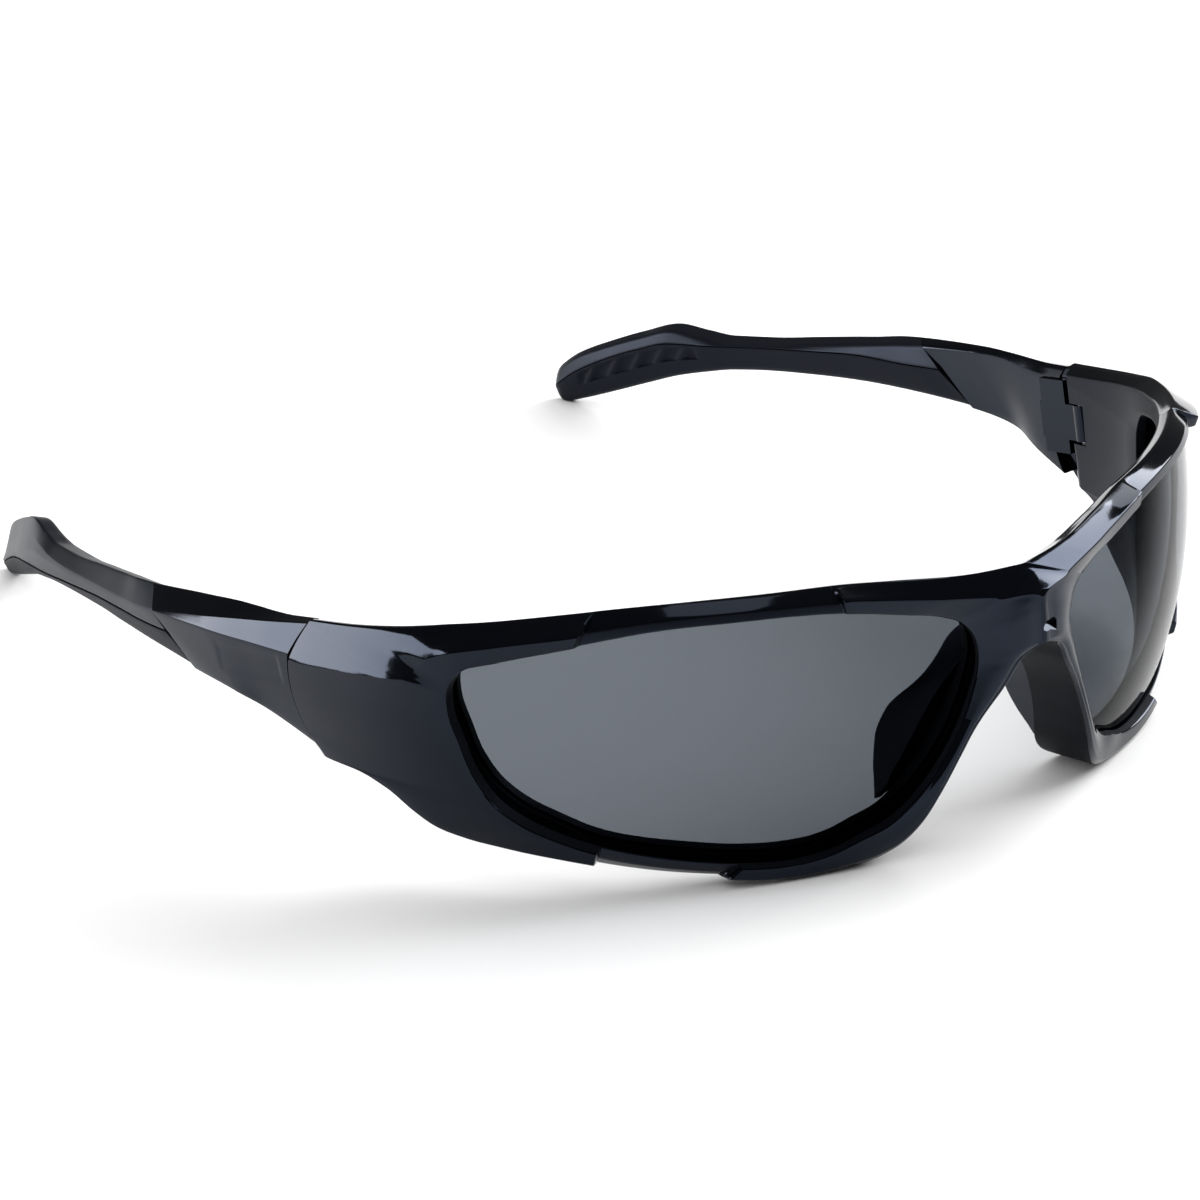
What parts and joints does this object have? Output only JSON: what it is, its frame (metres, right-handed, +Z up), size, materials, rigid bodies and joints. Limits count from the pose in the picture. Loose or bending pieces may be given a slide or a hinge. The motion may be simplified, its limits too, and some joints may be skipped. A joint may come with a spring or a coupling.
{
  "type": "safety glasses",
  "caption": "Wrap-around safety glasses: gloss frame with separate smoke-tinted lenses, soft nose saddle and hinged side arms with soft grips.",
  "frame": {"origin": "centre of the bounding box on the table plane, glasses open and lying on their lower rims and arm tips", "axes": "-Y is the front of the glasses, +X the wearer's left, +Z up from the table"},
  "size_m": [0.1364, 0.1713, 0.038],
  "materials": {
    "frame_gloss": "injection-moulded gloss black",
    "lens_smoke": "smoke grey polycarbonate, hard coated",
    "grip_soft": "soft matte thermoplastic elastomer",
    "screw_steel": "stainless steel"
  },
  "bodies": {
    "front": {"front_frame": "frame_gloss", "nose_saddle": "grip_soft", "lens_right": "lens_smoke", "lens_left": "lens_smoke", "hinge_screw_right": "screw_steel", "hinge_screw_left": "screw_steel"},
    "right_arm": {"arm_right": "frame_gloss", "arm_grip_right": "grip_soft"},
    "left_arm": {"arm_left": "frame_gloss", "arm_grip_left": "grip_soft"}
  },
  "joints": [
    {"name": "right_hinge", "type": "hinge", "parent": "front", "child": "right_arm", "pos_m": [-0.0619, -0.02826, 0.02261], "axis": [0, -0.153, -0.9882], "range_deg": [0, 78]},
    {"name": "left_hinge", "type": "hinge", "parent": "front", "child": "left_arm", "pos_m": [0.0619, -0.02826, 0.02261], "axis": [0, 0.153, 0.9882], "range_deg": [0, 90]}
  ]
}
